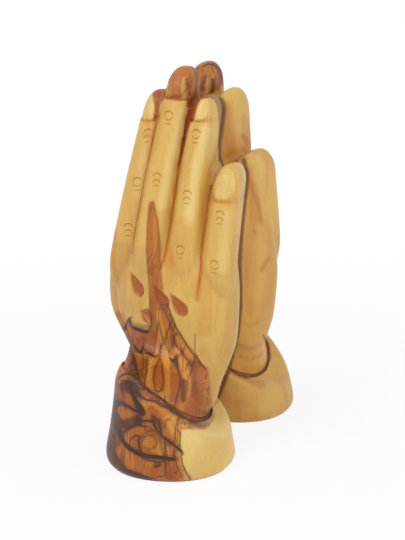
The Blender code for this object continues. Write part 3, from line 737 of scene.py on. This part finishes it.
# Veins: half width, darkness, path
NEAR_VEINS = (
    (1.0, 1, 115, 318, 117, 326, 120, 332, 124, 338),
    (0.9, 0.9, 118, 324, 121, 327, 124.6, 329, 127, 322, 129.6, 318, 130.5, 324, 132, 327),
    (1.5, 1, 131, 327, 135, 328.5, 141, 330.5, 146, 332, 149, 331),
    (0.7, 0.8, 149, 331, 151, 325, 151.4, 318, 150, 312),
    (0.4, 0.5, 142, 312, 144, 319, 148, 323),
    (0.4, 0.5, 141, 311, 146, 309.5, 149.6, 309),
    (0.9, 0.95, 120, 335, 124, 341, 129, 346, 131, 341, 131.8, 337),
    (1.0, 1, 133.6, 345, 137, 350, 140.7, 353, 143, 348, 143.4, 344),
    (1.2, 1, 146, 352, 150, 354, 155, 357),
    (0.7, 0.85, 155, 357, 158, 356, 160, 351, 161, 344),
    (1.2, 1, 170.5, 358, 173.3, 362, 175, 359, 176.4, 355),
    (0.9, 0.9, 176.4, 355, 177, 362, 178.5, 369),
    (0.6, 0.75, 162.1, 305.5, 166.6, 315.4, 171, 325, 173.8, 336, 175.5, 345, 181, 351, 188, 360,
     194.3, 366.3),
    (0.6, 0.8, 167.5, 304.6, 171, 315, 176.4, 328, 182.7, 338.6, 188.9, 347.5, 193.4, 354.6),
    (0.4, 0.5, 195.4, 334, 195.2, 345, 194.6, 354, 194, 365),
    (0.8, 0.85, 195, 353, 199.6, 361.8, 205.9, 369),
    (0.5, 0.65, 157.7, 324, 156.8, 333, 155, 342, 153.7, 353),
    (0.6, 0.8, 160.5, 354, 158.6, 362, 155, 367, 153.6, 378, 154.5, 389.5, 157, 392, 161.6, 390.4,
     163.8, 382.3, 162.5, 371.6, 161.6, 362),
    (0.7, 0.85, 147.3, 357, 146.4, 371, 144.2, 382, 144.4, 388),
    (0.6, 0.8, 142.9, 356, 142.9, 364.5, 142, 378),
    (1.4, 0.9, 132, 352, 134, 360, 136.5, 370, 139.5, 382),
    (0.8, 0.9, 127, 347, 131.8, 354.6, 133.6, 358, 130, 366),
    (0.7, 0.8, 173.2, 362, 178.6, 370, 180.8, 379.6, 179.5, 389.5, 176.8, 398.4, 175.9, 404),
    (0.5, 0.7, 182.5, 380, 181.6, 390, 183.5, 402),
    (0.4, 0.6, 188, 379.5, 186.5, 390, 185, 400),
    (0.4, 0.6, 192.9, 366, 191, 373, 188, 379),
    (0.4, 0.5, 150, 206, 147.6, 222, 146.6, 250, 148.5, 275, 149.6, 297, 150, 309),
    (0.35, 0.45, 153, 201, 156.5, 215, 159.5, 240, 161, 275, 162.5, 288),
    (0.4, 0.5, 166, 330, 168, 342, 170, 352),
    (0.4, 0.5, 170, 366, 171.5, 378, 171, 390),
    (1.0, 0.9, 128.6, 366.4, 135.7, 378, 144.6, 387, 153.6, 394, 162.5, 400, 171.4, 408, 180.4,
     414.4, 188, 419.5),
    (1.6, 0.95, 187.5, 419.6, 196.4, 422, 203.6, 420, 208.9, 414.8, 212, 408.2),
    (0.9, 0.9, 133, 391.3, 140.2, 396.6, 146.4, 400.2, 155.4, 401, 160.7, 405.5, 167.9, 408.2,
     175.9, 413.6, 184, 419),
    (1.0, 0.95, 131, 386, 127.5, 386.5, 126, 389.5, 128, 392.5),
    (1.0, 0.95, 122.5, 393, 120.5, 387, 123.5, 382.5, 129, 381, 134, 383, 138, 387, 143, 390),
    (1.1, 0.9, 117, 380, 123, 374.5, 130, 374, 137, 380, 144, 387, 152, 394),
    (2.2, 1, 130, 384, 131.5, 391, 134, 398, 138, 404, 141, 409, 143, 413),
    (1.2, 1, 115, 402, 120, 402.5, 125, 404.6, 134, 410, 141, 413.6),
    (2.4, 0.9, 116, 404, 114, 413, 113, 424),
    (4.2, 1, 138.5, 419, 140, 422),
    (1.1, 0.95, 143, 420.7, 149, 421.3, 153.6, 421.6),
    (1.1, 0.9, 151.8, 415.5, 155, 418.5, 158, 420, 159.5, 425, 162, 431),
    (1.3, 0.95, 152, 418, 154, 424.3, 157, 430, 162.5, 436.8, 171.4, 443, 180.4, 450.2, 183, 453),
    (0.6, 0.7, 149, 427.5, 153.6, 430.5, 158, 434, 162.5, 438.6),
    (0.9, 0.9, 117, 420, 119, 427, 122.3, 433.2, 129.5, 427.9, 137.5, 425.2, 147, 427),
    (0.8, 0.9, 141, 436.8, 138.4, 440.4, 139.3, 447.5, 142, 452),
    (0.5, 0.75, 141, 436.8, 147.3, 431.4, 157.1, 432.3, 164.3, 438.6, 165.2, 444.8, 166, 453.8),
    (0.8, 0.85, 131.3, 439, 135.7, 435.4, 140.2, 436.4),
    (0.5, 0.6, 142, 443, 144.2, 437.5, 149.5, 435.4, 154.8, 437.5, 157, 442.5, 154.8, 447.6, 149.5,
     449.6, 144.2, 447.6, 142.2, 444),
    (1.9, 1, 114.3, 424.3, 119.6, 433.2, 123.2, 442.1, 129.5, 448.4, 138.4, 453.8, 148.2, 456.4,
     158, 457.3, 169.6, 459.1, 176.8, 459.1),
    (0.8, 0.8, 140, 457, 148, 460.5, 157.1, 461.8, 168, 460.8),
    (1.6, 0.85, 155.4, 467.1, 160.7, 464.5),
    (1.2, 0.8, 111.6, 438, 114.3, 453.8, 120.5, 462.7, 126.8, 469.8),
    (1.8, 0.95, 124, 470, 135.7, 475.2, 150, 479.6),
    (0.45, 0.6, 175.9, 425.2, 174.6, 436, 175, 447.5, 175.9, 461, 178.6, 469, 183, 480),
    (0.5, 0.75, 180.8, 430, 179.9, 440.4, 180.8, 452, 182.1, 462.7, 185.7, 471.6, 191, 479),
    (0.5, 0.6, 175.9, 425.2, 182, 422.5, 190, 424, 198, 426.5, 206, 425),
    (0.5, 0.5, 178, 428, 180.5, 434),
    (0.4, 0.7, 164.5, 83, 164.3, 95),
)
FAR_AREAS = (
    (AMBER, 1.2, 192, 58, 216, 58, 226, 72, 227, 86, 222, 89, 214, 92, 204, 100, 190, 100),
)
FAR_BRUSH = (
    (GOLD, 3, 2.5, 0.7, 204, 64, 209, 70, 213, 74),
    (BROWN, 1.2, 1.4, 0.85, 204.8, 77, 203, 84, 202.3, 90),
    (TAN, 1.6, 1.4, 0.9, 209, 79, 208, 86, 207, 92),
    (DARK, 1.0, 1.4, 0.8, 213, 80, 213.5, 87, 212, 92),
    (RUST, 2.5, 2, 0.7, 219, 74, 221, 82, 219, 87),
    (SAP, 9, 6, 0.9, 231, 93, 237, 103, 240, 120),
    (ORANGE, 2, 8, 0.6, 226, 108, 228, 130, 232, 160),
    (TAN, 3, 4, 0.6, 245, 120, 250, 138),
    (AMBER, 1.6, 2.5, 0.6, 244, 137, 250, 144, 252, 149),
    (SAP, 7, 6, 0.8, 258, 160, 268, 185, 272, 215),
    # Painted shade on the far palm beside the nearer hand's edge
    (ORANGE, 1, 8, 0.4, 249, 170, 253, 200, 253, 235),
    (AMBER, 1.2, 2, 0.5, 247, 170, 252, 188, 259, 205, 262, 225),
    (BROWN, 0.9, 1, 0.8, 254.5, 230, 255.5, 232.5),
    # More painted shade on the far palm beside the nearer hand
    (ORANGE, 1, 9, 0.3, 246, 240, 249, 270, 250, 310),
    (SAP, 5, 8, 0.5, 262, 232, 262, 262, 258, 292),
    (AMBER, 0.8, 3, 0.5, 270, 258, 266, 263, 262, 270),
    (TAN, 4, 5, 0.5, 276, 240, 272, 285, 264, 325),
    (AMBER, 1, 2, 0.3, 242, 322, 250, 326, 258, 322),
    (AMBER, 1, 2, 0.3, 240, 345, 250, 349, 260, 345),
    (AMBER, 1, 2, 0.3, 240, 356, 250, 360, 262, 354),
    (SAP, 12, 12, 0.55, 240, 392, 262, 396, 276, 398),
    (ORANGE, 1, 9, 0.35, 222, 395, 232, 402, 244, 404),
    (AMBER, 1, 6, 0.4, 254, 383, 261, 385),
    (SAP, 7, 7, 0.6, 274, 365, 282, 395, 270, 408),
    (TAN, 4, 5, 0.5, 286, 380, 290, 400, 284, 412),
    # Painted shadow with dark stain in the crevice beside the nearer hand's edge
    (DARK, 1.6, 1.6, 0.8, 244, 160, 247, 173, 246.6, 188, 244.4, 203, 243, 218, 240.8, 241, 239.6,
     264, 240.4, 289, 240.4, 308, 239.2, 322, 237.2, 336, 233.2, 350, 228.8, 370, 222, 387, 216,
     401),
)
FAR_VEINS = (
    (0.7, 0.9, 202, 67, 208, 63.6, 215, 65, 220.5, 71.5, 223, 84),
    (1.0, 0.8, 231, 370, 239, 375, 248, 377.4, 257, 375.6, 266, 369, 270, 358, 268.5, 345, 264,
     336),
)
# The heartwood of the near cuff, drawn again on the back of the far one
BACK_AREAS, BACK_BRUSH, BACK_VEINS = NEAR_AREAS[3:5], NEAR_BRUSH[30:66], NEAR_VEINS[:56]
BACK_FACING = np.array([0.92, 0.38, 0])
BACK_SHIFT = (6, 22)
# Each gap's stain and painted shade: lower colour, upper colour, strength
GAP_STAIN_AND_SHADE = ((TAN, ORANGE, 0.7), (COPPER, RUST, 0.9), (COPPER, ORANGE, 0.85))
# Warmer, darker honey over the whole far hand: partly its wood tone, partly painted shade
FAR_TONE_AND_SHADE = 0.62


def linear(colour):
    """A display colour as light, less the sheen."""
    c = np.array(colour) / 255
    return np.where(c <= 0.04045, c / 12.92, ((c + 0.055) / 1.055) ** 2.4) * POLISH


def to_path(path, x, y):
    """Distance to a path, signed by side, and how far along it, all in sheet units."""
    corners = np.array(path, float).reshape(-1, 2)
    best, signed, along, gone = None, None, None, 0.0
    for (ax, ay), (bx, by) in zip(corners, corners[1:]):
        dx, dy = bx - ax, by - ay
        length = math.hypot(dx, dy)
        t = np.clip(((x - ax) * dx + (y - ay) * dy) / length ** 2, 0, 1)
        away = np.hypot(x - ax - t * dx, y - ay - t * dy)
        cross = (dx * (y - ay) - dy * (x - ax)) / length
        if best is None:
            best, signed, along = away, cross, t * length
        else:
            nearer = away < best
            best = np.where(nearer, away, best)
            signed = np.where(nearer, cross, signed)
            along = np.where(nearer, gone + t * length, along)
        gone += length
    return best, np.where(signed < 0, -best, best), np.minimum(along, gone - along)


def inside(outline, x, y):
    """Distance to an outline, positive inside it: the sign is even-odd crossing."""
    corners = np.array(outline, float).reshape(-1, 2)
    closed = np.concatenate([corners, corners[:1]])
    within = np.zeros(len(x), bool)
    for (ax, ay), (bx, by) in zip(closed, closed[1:]):
        if ay != by:
            crosses = ((ay > y) != (by > y)) & (x < (bx - ax) * (y - ay) / (by - ay) + ax)
            within ^= crosses
    away = to_path(closed.ravel(), x, y)[0]
    return np.where(within, away, -away)


class Figure:
    """Colour, veins and heartwood of every vertex."""

    def __init__(self, points):
        self.points = points
        self.count = len(points)
        self.wood = np.tile(linear(SAP), (self.count, 1))
        self.vein = np.tile((99.0, 99.0, 0.0), (self.count, 1))
        self.dark = np.zeros(self.count)
        self.heart = np.zeros(self.count)

    def lay(self, which, amount, colour):
        self.wood[which] += (linear(colour) - self.wood[which]) * amount[:, None]

    def draw(self, which, x, y, areas, brush, veins, strength, spread=1.0):
        """Areas, then brush lines, then veins, on the vertices of one side."""
        spread = np.broadcast_to(spread, len(which))
        for colour, soft, *outline in areas:
            near = self.close(outline, soft, x, y)
            amount = ease(inside(outline, x[near], y[near]), -soft, soft) * spread[near]
            self.lay(which[near], amount, colour)
            if colour in (ORANGE, AMBER, RUST):
                self.heart[which[near]] = np.maximum(self.heart[which[near]], amount)
            if colour == PALE:
                self.heart[which[near]] *= 1 - amount
        for colour, half, soft, force, *path in brush:
            near = self.close(path, half + soft, x, y)
            away = to_path(path, x[near], y[near])[0]
            self.lay(which[near], force * ease(away, half + soft, half) * strength[near], colour)
        for half, darkness, *path in veins:
            near = self.close(path, half + 6, x, y)
            away, signed, end = to_path(path, x[near], y[near])
            here = which[near]
            width = half * np.clip(0.35 + end / 5, 0.35, 1)
            first = away - width < self.vein[here, 1] - self.vein[here, 2]
            here = here[first]
            self.vein[here] = np.stack([signed, away, width], 1)[first]
            self.dark[here] = (darkness * strength[near])[first]

    @staticmethod
    def close(path, margin, x, y):
        corners = np.array(path, float).reshape(-1, 2)
        (left, top), (right, bottom) = corners.min(0) - margin, corners.max(0) + margin
        return np.flatnonzero((x > left) & (x < right) & (y > top) & (y < bottom))

    def nails(self, side):
        """Pale plates with a warmer base; gives back each nail's vertices."""
        x, y, z = self.points.T
        for name in HANDS[side]:
            tip = HEIGHT - FINGERS[name][0]
            low, high = tip - FINGERS[name][5], tip - NAIL_STOP
            u = (y - finger_place(name, z)) / np.maximum(0.5, NAIL_SHARE * finger_half(name, z))
            v = (z - low) / (high - low)
            here = (x * side > TIP_BACK * 0.5) & (np.abs(u) < 1.1) & (v > -0.03) & (v < 1.05)
            which = np.flatnonzero(here)
            plate = nail_rise(u[which], v[which])
            base = ease(v[which], 0.3, 0.0)
            self.lay(which, 0.5 * (1 - plate) * base, GOLD)
            self.lay(which, plate * (0.8 - 0.4 * base), PALE)
            yield which

    def gap(self, path, cut, lower, upper, strength):
        """Stain and painted shade along a gap line, from its lower colour to its upper one."""
        low, high = path.min(0) - 4, path.max(0) + 4
        which = np.flatnonzero(((self.points > low) & (self.points < high)).all(1))
        away = np.full(len(which), 99.0)
        for point in mid_points(path):
            away = np.minimum(away, np.linalg.norm(self.points[which] - point, axis=1))
        height = ease(self.points[which, 2], path[:, 2].min() + 40, path[:, 2].max() - 8)
        amount = strength * ease(away, 1.9, 0.7)
        cut[which] *= ease(away, 1.5, 2.5)
        self.lay(which, amount * (1 - height), lower)
        self.lay(which, amount * height, upper)

    def store(self, data):
        for name, kind, values in (("wood", "FLOAT_VECTOR", self.wood),
                                   ("vein", "FLOAT_VECTOR", self.vein),
                                   ("dark", "FLOAT", self.dark), ("heart", "FLOAT", self.heart)):
            layer = data.attributes.new(name, kind, "POINT")
            key = "vector" if kind == "FLOAT_VECTOR" else "value"
            layer.data.foreach_set(key, values.astype(np.float32).ravel())


def mid_points(path):
    return np.concatenate([path, (path[1:] + path[:-1]) / 2])


def draw_figure(data, surface, gaps):
    """Both hands' figure with painted highlights and shade, then cuts darkened by their depth,
    and stain with painted shade along the gaps and the seam between the hands.
    """
    points = coordinates(data).astype(float) / MM
    normals = np.zeros(3 * len(points), np.float32)
    data.vertices.foreach_get("normal", normals)
    normals = normals.reshape(-1, 3)
    figure = Figure(points)
    near = np.flatnonzero(points[:, 0] < 0)
    far = np.flatnonzero(points[:, 0] >= 0)
    # The far half is laid warmer and darker, partly as painted shade
    figure.lay(far, np.full(len(far), FAR_TONE_AND_SHADE), HONEY)

    cut = surface.depth(points * MM) * (points[:, 2] > 1)
    for side in (-1, 1):
        for which in figure.nails(side):
            cut[which] = 0
    x, y = on_sheet(points)
    seen = ease(normals @ camera_axes()[0], 0.15, -0.2)
    wave = 3 * np.sin(points[:, 1] * 0.4) + 1.5 * np.sin(points[:, 0] * 0.9)
    wrist = np.maximum(seen, ease(points[:, 2] + wave, 57, 54))
    tips = np.maximum(wrist, ease(points[:, 2], 150, 160))
    figure.draw(near, x[near], y[near], NEAR_AREAS, NEAR_BRUSH, NEAR_VEINS, wrist[near],
                tips[near])
    figure.draw(far, x[far], y[far], FAR_AREAS, FAR_BRUSH, FAR_VEINS, seen[far])
    back = far[normals[far] @ BACK_FACING > 0.05]
    facing = ease(normals[back] @ BACK_FACING, 0.05, 0.45)
    mx, my = on_sheet(points[back] * np.array([-1, 1, 1]))
    facing *= ease(my, 290, 320)
    figure.draw(back, mx - BACK_SHIFT[0], my - BACK_SHIFT[1], BACK_AREAS, BACK_BRUSH, BACK_VEINS,
                facing, facing)
    for k, path in enumerate(gaps):
        figure.gap(path, cut, *GAP_STAIN_AND_SHADE[k % len(GAP_STAIN_AND_SHADE)])
    everywhere = np.arange(len(points))
    figure.lay(everywhere, 0.45 * ease(cut, 0.1, 0.4), ORANGE)
    figure.lay(everywhere, 0.85 * ease(cut, 0.45, 0.9), RUST)
    side, across, high = points.T
    # Dark stain with painted shade in the crevice where the two hands meet
    seam = ease(across, 0, -6) * ease(high, 22, 30) * ease(high, 188, 182)
    reach = np.where(side > 0, ease(side, 4.5, 2), ease(side, -2.2, -0.8))
    figure.lay(everywhere, 0.85 * seam * reach, DARK)
    figure.store(data)


def finish_mesh(data):
    """Set the statue in the middle of the part's box, fit it in there and shade it smooth."""
    points = coordinates(data)
    low, high = np.array(CAD_BOX)
    centre = (points[:, 1].min() + points[:, 1].max() - low[1] - high[1]) / 2
    points[:, 1] -= centre
    room = high - low - FIT_ROOM * MM
    points *= np.minimum(1, room / (points.max(0) - points.min(0)))
    data.vertices.foreach_set("co", points.ravel())
    data.polygons.foreach_set("use_smooth", np.ones(len(data.polygons), bool))
    data.set_sharp_from_angle(angle=SHARP_ANGLE)
    data.update()
    return centre


carved, skin_before, gap_lines = carve()
draw_figure(carved, skin_before, gap_lines)
shift = finish_mesh(carved)
statue = add_object("praying_hands_carving", carved)
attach(statue, "root")
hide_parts("praying_hands")


class Field:
    """A shader value that arithmetic turns into nodes."""

    tree = None

    def __init__(self, socket):
        self.socket = socket

    @staticmethod
    def node(kind, output=0, settings=(), **inputs):
        made = Field.tree.nodes.new(kind)
        for key, value in dict(settings).items():
            setattr(made, key, value)
        for key, value in inputs.items():
            numbered = key[0] == "i" and key[1:].isdigit()
            Field.put(made.inputs[int(key[1:]) if numbered else key], value)
        return Field(made.outputs[output])

    @staticmethod
    def put(target, value):
        if isinstance(value, Field):
            Field.tree.links.new(value.socket, target)
        elif target.type == "RGBA" and len(value) == 3:
            target.default_value = (*value, 1.0)
        else:
            target.default_value = value

    @staticmethod
    def maths(operation, *values):
        named = {"i%d" % k: v for k, v in enumerate(values)}
        return Field.node("ShaderNodeMath", settings={"operation": operation}, **named)

    def __add__(self, other):
        return Field.maths("ADD", self, other)

    __radd__ = __add__

    def __sub__(self, other):
        return Field.maths("SUBTRACT", self, other)

    def __rsub__(self, other):
        return Field.maths("SUBTRACT", other, self)

    def __mul__(self, other):
        return Field.maths("MULTIPLY", self, other)

    __rmul__ = __mul__

    def __abs__(self):
        return Field.maths("ABSOLUTE", self)

    def least(self, other):
        return Field.maths("MINIMUM", self, other)

    def most(self, other):
        return Field.maths("MAXIMUM", self, other)

    def step(self, low, high):
        """0 below low, 1 above high, smooth between; low may be the larger."""
        flip = low > high
        if flip:
            low, high = high, low
        return Field.node("ShaderNodeMapRange", settings={"interpolation_type": "SMOOTHSTEP"},
                          i0=self, i1=low, i2=high, i3=1.0 if flip else 0.0,
                          i4=0.0 if flip else 1.0)

    def parts(self):
        split = Field.tree.nodes.new("ShaderNodeSeparateXYZ")
        Field.put(split.inputs[0], self)
        return [Field(output) for output in split.outputs]


def attribute(name, output=2):
    return Field.node("ShaderNodeAttribute", output, {"attribute_name": name})


def noise(where, scale, detail=2.0, rough=0.5, stretch=(1, 1, 1), warp=0.0):
    placed = Field.node("ShaderNodeMapping", i0=where, i3=stretch)
    return Field.node("ShaderNodeTexNoise", settings={"noise_dimensions": "3D"}, Vector=placed,
                      Scale=scale, Detail=detail, Roughness=rough, Distortion=warp)


def blend(a, b, amount, how="MIX"):
    made = Field.tree.nodes.new("ShaderNodeMix")
    made.data_type = "RGBA"
    made.blend_type = how
    made.clamp_factor = True
    Field.put(made.inputs[0], amount)
    Field.put(made.inputs[6], a)
    Field.put(made.inputs[7], b)
    return Field(made.outputs[2])


def new_material(name):
    made = bpy.data.materials.new(name)
    made.use_nodes = True
    Field.tree = made.node_tree
    return made, made.node_tree.nodes["Principled BSDF"]


def olive_wood():
    material, shader = new_material("olive_wood")
    where = Field.node("ShaderNodeTexCoord", 3)
    base = attribute("wood", 0)
    heart, dark = attribute("heart"), attribute("dark")
    signed, away, half = attribute("vein", 1).parts()

    fibre = noise(where, 1100.0, 3.0, 0.6, (1, 1, 0.06))
    streak = noise(where, 130.0, 3.0, 0.55, (1, 1, 0.12), 0.4)
    flame = noise(where, 85.0, 2.0, 0.45, (1, 1, 0.16), 0.8)
    colour = blend(base, (0.84, 0.70, 0.50), streak.step(0.48, 0.72) * 0.45, "MULTIPLY")
    colour = blend(colour, (0.88, 0.80, 0.68), fibre.step(0.42, 0.75) * 0.55, "MULTIPLY")
    colour = blend(colour, (0.62, 0.44, 0.30), flame.step(0.5, 0.55) * heart * 0.55, "MULTIPLY")
    lines = abs(flame - 0.5).step(0.016, 0.004).most(abs(flame - 0.41).step(0.012, 0.003))
    colour = blend(colour, (0.10, 0.035, 0.012), lines * heart * 0.65)

    wobble = noise(where, 420.0, 2.0) - 0.5
    width = half * (0.8 + noise(where, 260.0, 2.0) * 0.5)
    line = (abs(signed + wobble * 1.1) - width).step(0.5, -0.35)
    reach = (away - half).step(2.6, 1.4)
    glow = (abs(signed) - width).step(2.2, 0.2) * reach
    colour = blend(colour, (0.56, 0.38, 0.27), glow * dark * 0.55, "MULTIPLY")
    vein = blend((0.10, 0.036, 0.013), (0.046, 0.016, 0.008), dark.step(0.7, 1.0))
    colour = blend(colour, vein, line * reach * dark)

    Field.put(shader.inputs["Base Color"], colour)
    Field.put(shader.inputs["Roughness"], 0.36 + fibre * 0.12)
    shader.inputs["Specular IOR Level"].default_value = 0.4
    bump = Field.node("ShaderNodeBump", Strength=0.2, Distance=0.0002, Height=fibre)
    Field.put(shader.inputs["Normal"], bump)
    return material


carved.materials.clear()
carved.materials.append(olive_wood())

WORLD_LIGHT = 0.6
FLOOR_HALF = 6.0
FLOOR_GLOW = 0.86
PICTURE_HEIGHT = 540
SENSOR = 36.0


def seen_rays(tree):
    """1 for rays that show the stage to the camera, straight or by a reflection."""
    Field.tree = tree
    rays = tree.nodes.new("ShaderNodeLightPath")
    names = ("Is Camera Ray", "Is Glossy Ray", "Is Transmission Ray")
    camera, glossy, through = [Field(rays.outputs[name]) for name in names]
    return (camera + glossy + through).least(1.0)


def add_stage():
    """A white floor that glows for the eye alone, brighter away from the statue, and the world."""
    half = FLOOR_HALF
    data = bpy.data.meshes.new("floor")
    data.from_pydata([(-half, -half, 0), (half, -half, 0), (half, half, 0), (-half, half, 0)], [],
                     [(0, 1, 2, 3)])
    floor = add_object("floor", data)
    material, shader = new_material("floor_white")
    shader.inputs["Base Color"].default_value = (0.93, 0.93, 0.93, 1)
    shader.inputs["Roughness"].default_value = 0.9
    shader.inputs["Specular IOR Level"].default_value = 0.0
    glow = Field.node("ShaderNodeEmission", Color=(1, 1, 1), Strength=1.0)
    both = Field.tree.nodes.new("ShaderNodeMixShader")
    seen = seen_rays(material.node_tree)
    place = Field.node("ShaderNodeTexCoord", 3)
    away = Field.node("ShaderNodeVectorMath", 1, {"operation": "LENGTH"}, i0=place)
    Field.put(both.inputs[0], seen * (FLOOR_GLOW + (1 - FLOOR_GLOW) * away.step(0.15, 0.5)))
    Field.put(both.inputs[1], Field(shader.outputs[0]))
    Field.put(both.inputs[2], glow)
    output = material.node_tree.nodes["Material Output"]
    Field.put(output.inputs["Surface"], Field(both.outputs[0]))
    data.materials.append(material)

    world = bpy.data.worlds.new("studio")
    bpy.context.scene.world = world
    world.use_nodes = True
    background = world.node_tree.nodes["Background"]
    background.inputs["Color"].default_value = (1, 1, 1, 1)
    Field.put(background.inputs["Strength"],
              seen_rays(world.node_tree) * (1.0 - WORLD_LIGHT) + WORLD_LIGHT)


def add_camera():
    ahead, right, _ = camera_axes()
    data = bpy.data.cameras.new("camera")
    data.sensor_width = SENSOR
    data.lens = SENSOR * SHEET / PICTURE_HEIGHT
    data.clip_start = 0.01
    camera = add_object("camera", data)
    target = np.array([0.0, -shift, TARGET_HEIGHT * MM]) + right * TARGET_SIDE * MM
    camera.location = target - ahead * CAMERA_DISTANCE * MM
    camera.rotation_euler = Vector(ahead).to_track_quat("-Z", "Y").to_euler()
    bpy.context.scene.camera = camera


def add_light(name, side, up, back, size, power):
    """A softbox placed from the camera's own axes, in metres from the statue's middle."""
    ahead, right, high = camera_axes()
    middle = Vector((0, 0, 0.1))
    data = bpy.data.lights.new(name, "AREA")
    data.shape = "SQUARE"
    data.size = size
    data.energy = power
    lamp = add_object(name, data)
    lamp.location = middle + Vector(right * side + high * up - ahead * back)
    lamp.rotation_euler = (middle - lamp.location).to_track_quat("-Z", "Y").to_euler()


add_stage()
add_camera()
add_light("key", -0.7, 0.9, 0.9, 0.7, 7.8)
add_light("fill", 0.9, 0.3, 0.8, 0.9, 3.6)
bpy.context.scene.view_settings.view_transform = "Standard"
